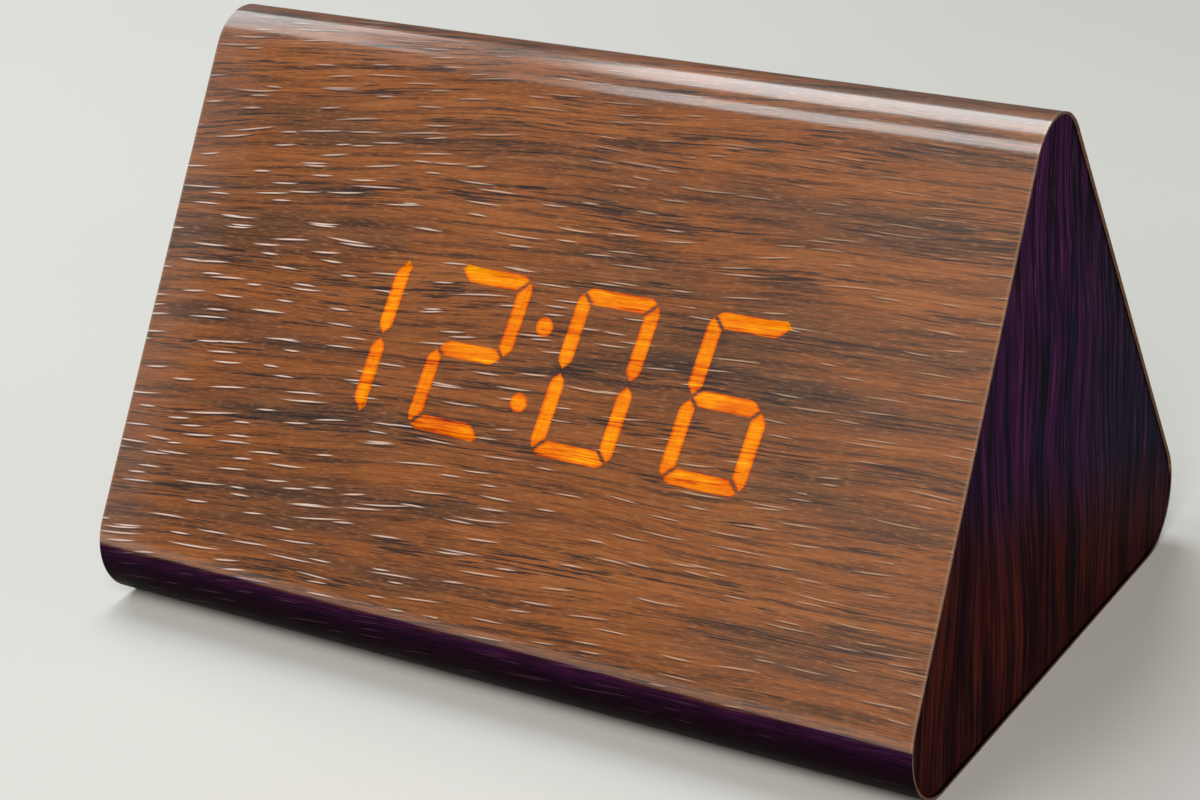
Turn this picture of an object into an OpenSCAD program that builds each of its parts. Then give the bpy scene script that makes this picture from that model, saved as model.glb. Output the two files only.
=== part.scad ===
// Digital alarm clock in a wood-effect triangular case.
// Origin: middle of the base, on the table. X runs along the case, -Y is the front, +Z is up.

/* [Case] */
// Overall length of the case, end to end
body_length = 125; // [120:1:160]
// Overall depth of the case, front to back
body_depth = 85.5; // [80:0.5:110]
// Overall height of the case
body_height = 76.3; // [72:0.1:100]
// Outer radius of the two long edges at the base
base_radius = 8.8; // [7:0.1:12]
// Outer radius of the ridge
ridge_radius = 7.5; // [6:0.1:12]
// Thickness of the front, rear and base boards
board_t = 8; // [6:0.5:10]
// Thickness of the two end panels
end_t = 5; // [3:0.5:7]
// Thickness of the wood-grain film
film_t = 0.35; // [0.2:0.05:0.6]
// How far the film's cut edge stands proud of each end
end_recess = 0.25; // [0.1:0.05:0.6]
// Gap where the film's two edges meet under the base
seam_gap = 0.3; // [0.1:0.1:1]

/* [Display] */
// Numerals shown, left to right
shown_digits = [1, 2, 0, 6];
// Height of a digit
digit_h = 22.6; // [16:0.1:24]
// Width of a digit before it leans
digit_w = 12.3; // [9:0.1:14]
// Width of a segment
stroke = 2.15; // [1.5:0.05:2.6]
// Lean of the digits, in degrees
digit_lean = 7; // [0:0.5:12]
// Distance from one digit to the next
digit_pitch = 19.25; // [16:0.25:20]
// Gap between neighbouring segments
segment_gap = 0.4; // [0.2:0.05:0.8]
// Cut across the outer corners of a digit
corner_cut = 1.5; // [0.5:0.1:2]
// Diameter of the two dots of the colon
dot_d = 2.6; // [1.5:0.1:3.5]
// Height of the dots above and below the middle of the digits
dot_rise = 5.15; // [3:0.05:7]
// How far the digits sit below the middle of the flat face
display_drop = 1.7; // [0:0.1:4]
// Border of the display housing around the digits
housing_border = 2.2; // [1.5:0.1:4]
// Thickness of the light bars in the front of the wells
light_bar_t = 2; // [1:0.1:4]
// Thickness of both circuit boards
pcb_t = 1.6; // [1:0.2:2]

/* [Rear panel] */
// Length of the rear panel
panel_l = 106; // [104:1:108]
// Width of the rear panel, up the slope
panel_w = 58; // [56:0.5:60]
// Thickness of the rear panel
panel_t = 2; // [1.6:0.1:2.6]
// How far the panel lies below the film's surface
panel_recess = 0.3; // [0:0.1:1]
// Corner radius of the panel
panel_r = 3; // [1:0.5:5]
// Width of the panel's rim that rests on the rear board
panel_ledge = 4.5; // [4:0.1:5]
// Space between the panel and the main board
board_gap = 7; // [6.4:0.2:8]
// Diameter of the button caps
button_d = 5.8; // [4:0.1:7]
// Height of the button caps above the panel
button_proud = 0.9; // [0.4:0.1:2]
// Travel of the buttons
button_travel = 0.6; // [0.3:0.1:0.8]
// Distance from one button to the next
button_pitch = 12; // [11:0.5:13]

/* [Batteries] */
// Diameter of an AAA cell
cell_d = 10.4; // [10.1:0.1:10.5]
// Length of an AAA cell with its nub
cell_l = 44.5; // [44:0.1:44.5]
// Number of cells side by side
cell_count = 4; // [4]
// Distance from one cell to the next
cell_pitch = 11; // [10.8:0.1:11.2]
// Length of a battery spring as it holds a cell
spring_l = 4.9; // [4:0.1:6]
// Thickness of the sheet-metal contacts
contact_t = 0.4; // [0.2:0.1:0.6]
// Wall thickness of the battery bay
bay_wall = 1.6; // [1.4:0.1:2]
// Thickness of the battery door
door_t = 1.6; // [1.4:0.1:2]

/* [Fits] */
// Gap round a piece that drops into an opening
drop_fit = 0.3; // [0.15:0.05:0.5]
// Gap round a piece that slides or turns
slide_fit = 0.2; // [0.1:0.05:0.3]
// Gap between a screw and its hole
screw_fit = 0.05; // [0.02:0.01:0.1]

/* [Hidden] */
$fn = 48;

// ---- Cross-section, as [y, z] --------------------------------------------------------
base_c = [-(body_depth / 2 - base_radius), base_radius];
ridge_c = [0, body_height - ridge_radius];
centre_span = norm(ridge_c - base_c);
face_angle = atan2(ridge_c.y - base_c.y, ridge_c.x - base_c.x)
  - asin((base_radius - ridge_radius) / centre_span);
face_normal = [-sin(face_angle), cos(face_angle)];
face_up = [cos(face_angle), sin(face_angle)];
face_mid = (base_c + base_radius * face_normal + ridge_c + ridge_radius * face_normal) / 2;
// Where the faces would meet if the edges were sharp
sharp_base = [base_c.x - base_radius / tan(face_angle / 2), 0];
sharp_ridge = [0, -sharp_base.x * tan(face_angle)];
wall_t = film_t + board_t;
inner_base = [sharp_base.x + wall_t / tan(face_angle / 2), wall_t];
inner_ridge = [0, sharp_ridge.y - wall_t / cos(face_angle)];

// ---- Lengths along X -------------------------------------------------------------------
end_stack = end_recess + film_t + end_t;
core_length = body_length - 2 * end_stack;

// ---- Display, in the front face's frame -------------------------------------------------
half_w = digit_w / 2;
half_h = digit_h / 2;
lean_x = half_h * tan(digit_lean);
digit_count = len(shown_digits);
digits_l = (digit_count - 1) * digit_pitch + digit_w + 2 * lean_x;
housing_l = digits_l + 2 * housing_border;
housing_w = digit_h + 2 * housing_border;
display_overhang = 6.5;
led_board_l = housing_l + 2 * display_overhang;
led_board_w = housing_w + 6;
led_board_top = -wall_t;
led_size = [1.6, 0.8, 0.6];
// Segments a to g lit for each numeral
NUMERALS = [
  [1, 1, 1, 1, 1, 1, 0], [0, 1, 1, 0, 0, 0, 0], [1, 1, 0, 1, 1, 0, 1], [1, 1, 1, 1, 0, 0, 1],
  [0, 1, 1, 0, 0, 1, 1], [1, 0, 1, 1, 0, 1, 1], [1, 0, 1, 1, 1, 1, 1], [1, 1, 1, 0, 0, 0, 0],
  [1, 1, 1, 1, 1, 1, 1], [1, 1, 1, 1, 0, 1, 1]
];

// ---- Rear panel stack, in the rear face's frame; negative is into the case ----------------
panel_out = -panel_recess;
panel_in = panel_out - panel_t;
main_out = panel_in - board_gap;
main_in = main_out - pcb_t;
opening_l = panel_l - 2 * panel_ledge;
opening_w = panel_w - 2 * panel_ledge;

// ---- Battery bay ---------------------------------------------------------------------------
bay_l = cell_l + spring_l + 2 * contact_t;
bay_w = cell_count * cell_pitch + 0.6;
bay_outer_l = bay_l + 2 * bay_wall;
bay_outer_w = bay_w + 2 * bay_wall;
bay_x = opening_l / 2 - bay_outer_l / 2 - 0.5;
door_rest = bay_wall / 2;
door_gap_l = bay_l + 2 * door_rest;
door_gap_w = bay_w + 2 * door_rest;
door_l = door_gap_l - 2 * drop_fit;
door_w = door_gap_w - 2 * drop_fit;
door_in = panel_out - door_t;
cell_axis = door_in - 1.25 - cell_d / 2;
bay_floor = cell_axis - cell_d / 2 - 0.3;
hinge_y = -door_w / 2 + door_t / 2;
hinge_z = panel_out - door_t / 2;
tongue_l = 8;
tongue_reach = 2.7;
tongue_t = 1;
tongue_drop = panel_in - slide_fit - tongue_t;

// ---- Main board layout, in the rear face's frame ----------------------------------------------
board_side = bay_x - bay_outer_l / 2;
lead_clearance = 3;
main_x0 = -opening_l / 2 + 1.2;
main_x1 = board_side - lead_clearance;
main_l = main_x1 - main_x0;
main_w = opening_w - 5;
main_x = (main_x0 + main_x1) / 2;
button_y = 12.5;
switch_size = 6;
switch_h = 3.5;
plunger_d = 3.4;
plunger_out = main_out + switch_h + 1;
plunger_root = main_out + switch_h - 1.3;
flange_d = button_d + 2.2;
flange_t = 0.8;
usb_at = [main_x - 8, -14];
usb_shell_size = [7.6, 2.9];
usb_wall = 0.35;
sounder_at = [main_x + 9, -3];
sounder_d = 12;
sounder_h = 5.2;
mic_at = [main_x - 12, 0];
mic_d = 6;
mic_h = 2.7;
thermistor_at = [main_x + 9, -16.5];
boss_d = 5;
boss_at = [main_l / 2 - 2.7, main_w / 2 - 2.7];
screw_d = 2.2;
screw_head_d = 4;
screw_head_h = 1.5;
screw_bite = 5;
head_seat = panel_out - screw_head_h;
panel_screw_at = [panel_l / 2 - panel_ledge / 2 - 0.4, panel_w / 2 - panel_ledge / 2 - 0.4];

// ---- Ribbon cable between the two boards, in [y, z] ---------------------------------------------
ribbon_w = 11.4;
ribbon_t = 0.9;
socket_size = [14, 5, 5];
ribbon_x = -main_x;
socket_y = -8;
ribbon_straight = 17;
socket_front_in = -(wall_t + pcb_t);
ribbon_end = face_mid + socket_y * face_up - ribbon_straight * face_normal;
ribbon_bend_r = -ribbon_end.x / sin(90 - face_angle);
ribbon_bend_z = ribbon_end.y + ribbon_bend_r * cos(90 - face_angle);

// ======== Shared shapes ===========================================================================

function flip(p) = [-p.x, p.y];

// The case's cross-section, drawn in [y, z] and shrunk by inset on every side
module profile(inset = 0) {
  low = base_c + (base_radius - inset) * face_normal;
  high = ridge_c + (ridge_radius - inset) * face_normal;
  polygon([[base_c.x, inset], [-base_c.x, inset], flip(low), flip(high), high, low]);
  translate(base_c) circle(r = base_radius - inset, $fn = 96);
  translate(flip(base_c)) circle(r = base_radius - inset, $fn = 96);
  translate(ridge_c) circle(r = ridge_radius - inset, $fn = 96);
}

// Lays a [y, z] drawing along X
module along_x(length) {
  rotate([90, 0, 90]) linear_extrude(length, center = true) children();
}

// Frame of the front face: X along the case, Y up the slope, Z out of the face
module on_front() {
  translate([0, face_mid.x, face_mid.y]) rotate([face_angle, 0, 0]) children();
}

module on_rear() {
  rotate([0, 0, 180]) on_front() children();
}

module on_display() {
  on_front() translate([0, -display_drop, 0]) children();
}

module rounded_plate(length, width, thickness, radius) {
  linear_extrude(thickness) {
    square([length - 2 * radius, width], center = true);
    square([length, width - 2 * radius], center = true);
    for (sx = [-1, 1], sy = [-1, 1])
      translate([sx * (length / 2 - radius), sy * (width / 2 - radius)]) circle(r = radius);
  }
}

// A box centred in X and Y that stands between two heights
module block(size, from_z, to_z) {
  translate([-size.x / 2, -size.y / 2, min(from_z, to_z)]) cube([size.x, size.y, abs(to_z - from_z)]);
}

module disc(d, from_z, to_z) {
  translate([0, 0, min(from_z, to_z)]) cylinder(d = d, h = abs(to_z - from_z));
}

// ======== Case ======================================================================================

module veneer_wrap() {
  color("saddlebrown") difference() {
    along_x(body_length) profile();
    along_x(body_length + 2) profile(film_t);
    on_rear() panel_rebate();
    translate([0, body_depth / 4, 0]) cube([body_length + 2, seam_gap, 3 * film_t], center = true);
  }
}

// The rebate that the rear panel drops into
module panel_rebate() {
  translate([0, 0, panel_in])
    rounded_plate(panel_l + 2 * drop_fit, panel_w + 2 * drop_fit, 2 * panel_t, panel_r + drop_fit);
}

// The slice of the cross-section between two mitred corners
module mitred_board(corners) {
  along_x(core_length) intersection() {
    profile(film_t);
    polygon(corners);
  }
}

function beyond(inner, outer) = inner + 3 * (outer - inner);

module front_board() {
  color("burlywood") difference() {
    mitred_board([
      inner_base, inner_ridge, beyond(inner_ridge, sharp_ridge), beyond(inner_base, sharp_base)
    ]);
    on_display() block(
      [housing_l + 2 * slide_fit, housing_w + 2 * slide_fit], -wall_t - 1, 1
    );
    on_display() display_screw_places() disc(screw_d + 2 * screw_fit, -wall_t - 1, -wall_t + screw_bite);
  }
}

module rear_board() {
  color("burlywood") difference() {
    mitred_board([
      flip(inner_base), flip(inner_ridge),
      beyond(inner_ridge, sharp_ridge), flip(beyond(inner_base, sharp_base))
    ]);
    on_rear() {
      panel_rebate();
      block([opening_l, opening_w], -wall_t - 1, 1);
      panel_screw_places() disc(screw_d + 2 * screw_fit, panel_in - screw_bite - 0.3, 1);
    }
  }
}

module base_board() {
  color("burlywood") mitred_board([
    inner_base, beyond(inner_base, sharp_base), flip(beyond(inner_base, sharp_base)), flip(inner_base)
  ]);
}

module end_panel(side) {
  color("tan") translate([side * (core_length + end_t) / 2, 0, 0]) along_x(end_t) profile(film_t);
}

module end_veneer(side) {
  color("#3a1c24") translate([side * (core_length / 2 + end_t + film_t / 2), 0, 0])
    along_x(film_t) profile(film_t);
}

// ======== Display ===================================================================================

// Outline of segment 0 to 6, which are a to g, before the digit leans
function segment_points(index) =
  let (
    e = segment_gap * sqrt(2) / 2,
    inner_x = half_w - stroke,
    mid = stroke / 2,
    across = [
      [-(half_w - corner_cut), half_h], [half_w - corner_cut, half_h],
      [half_w - (corner_cut + e) / 2, half_h - (corner_cut - e) / 2],
      [inner_x - e, half_h - stroke], [-(inner_x - e), half_h - stroke],
      [-half_w + (corner_cut + e) / 2, half_h - (corner_cut - e) / 2]
    ],
    down = [
      [half_w - (corner_cut - e) / 2, half_h - (corner_cut + e) / 2], [half_w, half_h - corner_cut],
      [half_w, e + mid], [half_w - mid, e], [inner_x, e + mid], [inner_x, half_h - stroke - e]
    ],
    middle = [
      [-(half_w - mid - e), 0], [-(inner_x - e), mid], [inner_x - e, mid],
      [half_w - mid - e, 0], [inner_x - e, -mid], [-(inner_x - e), -mid]
    ],
    flips = [[1, 1], [1, 1], [1, -1], [1, -1], [-1, -1], [-1, 1], [1, 1]],
    shape = index == 6 ? middle : (index == 0 || index == 3) ? across : down
  )
  [for (p = shape) [p.x * flips[index].x, p.y * flips[index].y]];

function leaned(p) = [p.x + p.y * tan(digit_lean), p.y];
function digit_x(place) = (place - (digit_count - 1) / 2) * digit_pitch;
function segment_centre(index) =
  let (pts = segment_points(index)) leaned([for (axis = [0, 1]) (pts[0][axis] + pts[1][axis]
    + pts[2][axis] + pts[3][axis] + pts[4][axis] + pts[5][axis]) / 6]);

// Draws the outlines of the segments whose state is in lit, grown by grow
module segment_outlines(lit) {
  for (place = [0 : digit_count - 1], index = [0 : 6])
    if (is_in(NUMERALS[shown_digits[place]][index], lit))
      translate([digit_x(place), 0]) polygon([for (p = segment_points(index)) leaned(p)]);
}

function is_in(value, list) = len([for (item = list) if (item == value) item]) > 0;

module dot_places() {
  for (side = [-1, 1]) translate([side * dot_rise * tan(digit_lean), side * dot_rise]) children();
}

module display_screw_places() {
  for (sx = [-1, 1], sy = [-1, 1])
    translate([sx * (housing_l / 2 + display_overhang / 2), sy * housing_w / 3, 0]) children();
}

module display_housing() {
  color("gainsboro") on_display() difference() {
    block([housing_l, housing_w], -wall_t, -film_t);
    translate([0, 0, -wall_t - 1]) linear_extrude(wall_t + 2) {
      segment_outlines([0, 1]);
      dot_places() circle(d = dot_d);
    }
  }
}

module lit_light_bars() {
  color("orange") on_display() translate([0, 0, -film_t - light_bar_t]) linear_extrude(light_bar_t) {
    segment_outlines([1]);
    dot_places() circle(d = dot_d);
  }
}

module unlit_light_bars() {
  color("lightgrey") on_display() translate([0, 0, -film_t - light_bar_t])
    linear_extrude(light_bar_t) segment_outlines([0]);
}

module segment_leds() {
  color("khaki") on_display() {
    for (place = [0 : digit_count - 1], index = [0 : 6])
      translate([digit_x(place) + segment_centre(index).x, segment_centre(index).y, 0])
        rotate([0, 0, (index == 0 || index == 3 || index == 6) ? 0 : 90 - digit_lean])
          block(led_size, led_board_top, led_board_top + led_size.z);
    dot_places() block(led_size, led_board_top, led_board_top + led_size.z);
  }
}

module display_board() {
  color("darkgreen") on_display() difference() {
    block([led_board_l, led_board_w], led_board_top - pcb_t, led_board_top);
    display_screw_places() disc(screw_d + 2 * drop_fit, led_board_top - pcb_t - 1, led_board_top + 1);
  }
}

// A pan-head screw whose head seats at z = 0 and whose shank runs up
module screw(shank) {
  disc(screw_d, 0, shank);
  difference() {
    disc(screw_head_d, -screw_head_h, 0);
    for (turn = [0, 90]) rotate([0, 0, turn]) block([2.4, 0.5], -screw_head_h - 1, -screw_head_h + 0.7);
  }
}

module display_screws() {
  color("silver") on_display() display_screw_places()
    translate([0, 0, led_board_top - pcb_t]) screw(pcb_t + screw_bite - 0.4);
}

// A ribbon socket that stands on a board at z = 0 and opens towards -z
module ribbon_socket() {
  difference() {
    block(socket_size, -socket_size.z, 0);
    block([ribbon_w + 2 * slide_fit, ribbon_t + 2 * slide_fit], -socket_size.z - 1, -1);
  }
}

module display_socket() {
  color("ivory") on_front() translate([ribbon_x, socket_y, socket_front_in]) ribbon_socket();
}

module main_socket() {
  color("ivory") on_rear() translate([-ribbon_x, socket_y, main_in]) ribbon_socket();
}

module ribbon_cable() {
  edge = ribbon_t / 2 * face_up;
  top = face_mid + socket_y * face_up;
  front_tip = top + (socket_front_in - 1.2) * face_normal;
  rear_tip = top + (main_in - 1.2) * face_normal;
  color("lightgrey") translate([ribbon_x, 0, 0]) along_x(ribbon_w) {
    polygon([front_tip - edge, ribbon_end - edge, ribbon_end + edge, front_tip + edge]);
    polygon([
      flip(rear_tip + edge), flip(ribbon_end + edge), flip(ribbon_end - edge), flip(rear_tip - edge)
    ]);
    intersection() {
      translate([0, ribbon_bend_z]) difference() {
        circle(r = ribbon_bend_r + ribbon_t / 2, $fn = 96);
        circle(r = ribbon_bend_r - ribbon_t / 2, $fn = 96);
      }
      polygon([
        [0, ribbon_bend_z],
        [2 * ribbon_end.x, ribbon_bend_z + 2 * (ribbon_end.y - ribbon_bend_z)],
        [-2 * ribbon_end.x, ribbon_bend_z + 2 * (ribbon_end.y - ribbon_bend_z)]
      ]);
    }
  }
}

module driver_chip() {
  color("#202020") on_display() translate([-20, 0, 0]) chip([16, 7, 1.6], 10, led_board_top - pcb_t);
}

// A chip that hangs below z = top, with leads along its two long sides
module chip(size, leads, top) {
  block(size, top - size.z, top - 0.1);
  for (side = [-1, 1], i = [0 : leads - 1])
    translate([(i - (leads - 1) / 2) * (size.x - 1.6) / (leads - 1), side * (size.y / 2 + 0.5), 0])
      block([0.5, 1], top - 0.8, top);
}

// ======== Rear panel and door ===========================================================================

module panel_screw_places() {
  for (sx = [-1, 1], sy = [-1, 1])
    translate([sx * panel_screw_at.x, sy * panel_screw_at.y, 0]) children();
}

module boss_places() {
  for (sx = [-1, 1], sy = [-1, 1])
    translate([main_x + sx * boss_at.x, sy * boss_at.y, 0]) children();
}

function button_x(place) = main_x + (place - 1) * button_pitch;

module sound_slots() {
  for (i = [-2 : 2]) translate([sounder_at.x + i * 2, sounder_at.y, 0])
    block([0.9, sqrt(36 - 4 * i * i) * 1.5], panel_in - 1, 1);
}

module vent_slots() {
  for (i = [-1 : 1]) translate([thermistor_at.x + i * 2.4, thermistor_at.y, 0])
    block([1, 5], panel_in - 1, 1);
}

// Raised marks above the buttons: a ring, an upward and a downward arrow
module button_marks() {
  mark_y = button_y + flange_d / 2 + 3;
  raise = 0.25;
  translate([button_x(0), mark_y, panel_out]) linear_extrude(raise) difference() {
    circle(d = 2.6);
    circle(d = 1.4);
  }
  for (m = [[1, 1], [2, -1]]) translate([button_x(m.x), mark_y, panel_out])
    linear_extrude(raise) polygon([[-1.5, -m.y * 1.1], [1.5, -m.y * 1.1], [0, m.y * 1.4]]);
}

module rear_panel() {
  color("#1c1c1e") on_rear() {
    button_marks();
    difference() {
      union() {
        translate([0, 0, panel_in]) rounded_plate(panel_l, panel_w, panel_t, panel_r);
        translate([bay_x, 0, 0]) block([bay_outer_l, bay_outer_w], bay_floor - 1.2, panel_in);
        boss_places() disc(boss_d, main_out, panel_in);
      }
      translate([bay_x, 0, 0]) {
        block([door_gap_l, door_gap_w], door_in - slide_fit, 1);
        block([bay_l, bay_w], bay_floor, 1);
        // Slots under the lower edge for the door's tongues
        for (side = [-1, 1]) translate([side * door_l / 4, 0, 0]) {
          translate([0, -bay_outer_w / 2, 0]) block([tongue_l + 1, 4], tongue_drop - 1.4, panel_in);
          translate([0, -door_gap_w / 2 + 1.5, 0]) block([tongue_l + 1, 3], tongue_drop - 1.4, door_in);
        }
        // Slots in the end wall for the battery contacts' tabs
        for (y = [1, -1]) translate([-bay_outer_l / 2, y * lead_y, 0])
          block([3 * bay_wall, tab_w + 2 * slide_fit], tab_from - slide_fit, tab_to + slide_fit);
        // Thumb scoop beside the door's latch
        translate([0, door_gap_w / 2, panel_out + 3.2]) rotate([0, 90, 0])
          cylinder(r = 4, h = 12, center = true);
      }
      panel_screw_places() {
        disc(screw_d + 2 * drop_fit, panel_in - 1, 1);
        disc(screw_head_d + 2 * drop_fit, head_seat, 1);
      }
      for (place = [0 : 2]) translate([button_x(place), button_y, 0])
        disc(button_d + 2 * slide_fit, panel_in - 1, 1);
      translate([usb_at.x, usb_at.y, 0])
        block(usb_shell_size + [2 * drop_fit, 2 * drop_fit], panel_in - 1, 1);
      translate([mic_at.x, mic_at.y, 0]) disc(1.5, panel_in - 1, 1);
      sound_slots();
      vent_slots();
      boss_places() disc(screw_d + 2 * screw_fit, main_out - 1, main_out + screw_bite);
    }
  }
}

module panel_screws() {
  color("silver") on_rear() panel_screw_places()
    translate([0, 0, head_seat]) rotate([180, 0, 0]) screw(head_seat - panel_in + screw_bite);
}

module board_screws() {
  color("silver") on_rear() boss_places()
    translate([0, 0, main_in]) screw(pcb_t + screw_bite - 0.3);
}

module battery_door() {
  color("#242426") on_rear() translate([bay_x, 0, 0]) {
    difference() {
      union() {
        translate([-door_l / 2, hinge_y, door_in]) cube([door_l, door_w - door_t / 2, door_t]);
        translate([0, hinge_y, hinge_z]) rotate([0, 90, 0])
          cylinder(d = door_t, h = door_l, center = true);
      }
      // Slits that free the latch finger, and its finger grip
      for (side = [-1, 1]) translate([side * 6, door_w / 2 - 4, 0]) block([0.6, 10], door_in - 1, 1);
      for (i = [0 : 3]) translate([0, door_w / 2 - 2.2 - i * 1.6, 0]) block([9, 0.6], panel_out - 0.4, 1);
    }
    for (side = [-1, 1]) translate([side * door_l / 4, 0, 0]) {
      translate([0, hinge_y + 0.1, 0]) block([tongue_l, 1], tongue_drop, door_in);
      translate([0, hinge_y + 0.6 - tongue_reach / 2, 0])
        block([tongue_l, tongue_reach], tongue_drop, tongue_drop + tongue_t);
    }
  }
}

// ======== Batteries =======================================================================================

// Cell 0 is at the top; even cells have their nub at the left end
function cell_y(i) = ((cell_count - 1) / 2 - i) * cell_pitch;
function cell_side(i) = i % 2 == 0 ? -1 : 1;
nub_l = 0.9;
lead_y = cell_y(0);
lead_d = 1.3;
lead_x = board_side - lead_clearance / 2;
tab_w = 2;
tab_from = cell_axis - 1;
tab_to = cell_axis - 0.6;

// Frame of cell i: origin on the bay's end wall at the nub end, Z runs along the cell
module at_cell(i) {
  on_rear() translate([bay_x + cell_side(i) * bay_l / 2, cell_y(i), cell_axis])
    rotate([0, -cell_side(i) * 90, 0]) children();
}

module battery(i) {
  color("goldenrod") at_cell(i) translate([0, 0, contact_t]) {
    disc(3.8, 0, nub_l + 0.5);
    difference() {
      disc(cell_d, nub_l, cell_l);
      difference() {
        disc(cell_d - 0.8, nub_l - 1, nub_l + 0.3);
        disc(6, nub_l - 2, nub_l + 1);
      }
    }
  }
}

spring_turns = 3.5;
spring_wire = 0.6;
spring_steps = 35;
spring_sides = 6;

// A conical coil from the plate at z = 0 to the cell at z = spring_l
module coil_spring() {
  function centre(t) = let (
      r = 3.6 - 1.4 * t,
      a = 360 * spring_turns * t
    ) [r * cos(a), r * sin(a), spring_wire / 2 + 0.02 + t * (spring_l - spring_wire - 0.04)];
  points = [for (k = [0 : spring_steps], s = [0 : spring_sides - 1])
    let (
      t = k / spring_steps,
      a = 360 * spring_turns * t,
      b = 360 * s / spring_sides
    )
    centre(t) + spring_wire / 2 * [cos(b) * cos(a), cos(b) * sin(a), sin(b)]];
  last = spring_steps * spring_sides;
  sides = [for (k = [0 : spring_steps - 1], s = [0 : spring_sides - 1])
    let (
      s1 = (s + 1) % spring_sides,
      low = k * spring_sides,
      high = low + spring_sides
    )
    [low + s, high + s, high + s1, low + s1]];
  polyhedron(points, concat(
    sides,
    [[for (s = [0 : spring_sides - 1]) s]],
    [[for (s = [spring_sides - 1 : -1 : 0]) last + s]]
  ));
}

module battery_springs() {
  color("silver") for (i = [0 : cell_count - 1])
    at_cell(i) translate([0, 0, bay_l - contact_t]) rotate([180, 0, 0]) coil_spring();
}

// A plate on the end wall that spans the cells from first to last
module contact_plate(side, first, last) {
  height = 8.6;
  width = (last - first) * cell_pitch + height;
  on_rear() translate([bay_x + side * (bay_l - contact_t) / 2, (cell_y(first) + cell_y(last)) / 2, 0])
    block([contact_t, width], cell_axis - height / 2, cell_axis + height / 2);
}

module battery_contacts() {
  color("gainsboro") {
    contact_plate(-1, 0, 0);
    contact_plate(-1, 1, 2);
    contact_plate(-1, 3, 3);
    contact_plate(1, 0, 1);
    contact_plate(1, 2, 3);
    on_rear() for (y = [1, -1]) translate([lead_x - lead_d / 2, y * lead_y - tab_w / 2, tab_from])
      cube([bay_wall + 1.5 + lead_d / 2 + contact_t / 2, tab_w, tab_to - tab_from]);
  }
}

// A lead from a contact's tab, down into the case and back up to the main board
module battery_lead(y) {
  loop_r = 2.4;
  loop_z = bay_floor - 3;
  on_rear() translate([lead_x, y, 0]) {
    disc(lead_d, loop_z, tab_from);
    translate([-2 * loop_r, 0, 0]) disc(lead_d, loop_z, main_in);
    translate([-loop_r, 0, loop_z]) rotate([-90, 0, 0])
      rotate_extrude(angle = 180) translate([loop_r, 0]) circle(d = lead_d, $fn = 24);
  }
}

// ======== Main board ========================================================================================

module main_board() {
  color("darkgreen") on_rear() difference() {
    translate([main_x, 0, 0]) block([main_l, main_w], main_in, main_out);
    boss_places() disc(screw_d + 2 * drop_fit, main_in - 1, main_out + 1);
  }
}

module clock_chip() {
  color("#202020") on_rear() translate([main_x, -16, 0]) chip([12, 7, 1.6], 8, main_in);
}

module crystal() {
  color("silver") on_rear() translate([main_x - 13.5, -14, main_in - 1.6]) {
    rotate([90, 0, 0]) cylinder(d = 2.2, h = 6, center = true);
    for (side = [-1, 1]) translate([side * 0.6, 3.6, 0]) {
      rotate([90, 0, 0]) cylinder(d = 0.4, h = 1.2, center = true);
      disc(0.4, 0, 1.6);
    }
  }
}

coin_d = 20;
coin_t = 3.2;
coin_at = [main_x, 8.5];

module cell_holder() {
  color("#303030") on_rear() translate([coin_at.x, coin_at.y, 0]) difference() {
    block([coin_d + 3, coin_d + 3], main_in - coin_t - 1.3, main_in);
    disc(coin_d + 2 * slide_fit, main_in - coin_t - 2, main_in - 0.8);
  }
}

module backup_cell() {
  color("silver") on_rear() translate([coin_at.x, coin_at.y, 0]) {
    disc(coin_d, main_in - 1 - coin_t, main_in - 1.3);
    disc(coin_d - 2.4, main_in - 1.3, main_in - 1);
  }
}

module reservoir_capacitor() {
  color("midnightblue") on_rear() translate([main_x + 14, -8, 0]) {
    disc(5, main_in - 7.5, main_in);
    disc(4.2, main_in - 7.8, main_in - 7.5);
  }
}

module small_components() {
  color("dimgray") on_rear() {
    for (i = [0 : 4]) translate([main_x - 17, -8 + i * 3.4, 0]) block([2, 1.25], main_in - 0.6, main_in);
    for (i = [0 : 3]) translate([main_x + 16, 2 + i * 3.4, 0]) block([1.25, 2], main_in - 0.6, main_in);
  }
}

module sounder() {
  color("#151515") on_rear() translate([sounder_at.x, sounder_at.y, 0]) difference() {
    disc(sounder_d, main_out, main_out + sounder_h);
    disc(2, main_out + sounder_h - 1.2, main_out + sounder_h + 1);
  }
}

module microphone() {
  color("silver") on_rear() translate([mic_at.x, mic_at.y, 0]) difference() {
    disc(mic_d, main_out, main_out + mic_h);
    disc(mic_d - 1.4, main_out + mic_h - 0.3, main_out + mic_h + 1);
  }
}

module thermistor() {
  color("#101010") on_rear() translate([thermistor_at.x, thermistor_at.y, 0]) {
    translate([0, 0, main_out + 4]) sphere(d = 2.4);
    for (side = [-1, 1]) translate([side * 0.6, 0, 0]) disc(0.4, main_out, main_out + 3.4);
  }
}

module usb_shell() {
  color("silver") on_rear() translate([usb_at.x, usb_at.y, 0]) difference() {
    block(usb_shell_size, main_out, panel_out - 0.3);
    block(usb_shell_size - 2 * [usb_wall, usb_wall], main_out - 1, 1);
  }
}

module usb_tongue() {
  color("#181818") on_rear() translate([usb_at.x, usb_at.y, 0]) {
    block(usb_shell_size - 2 * [usb_wall + 0.02, usb_wall + 0.02], main_out, main_out + 2.6);
    translate([0, 0.3, 0]) block([5, 0.7], main_out + 2.6, panel_out - 1.2);
  }
}

module tact_switch(place) {
  color("#2a2a2a") on_rear() translate([button_x(place), button_y, 0]) difference() {
    block([switch_size, switch_size], main_out, main_out + switch_h);
    disc(plunger_d + 2 * slide_fit, plunger_root - button_travel - 0.3, main_out + switch_h + 1);
  }
}

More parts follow.
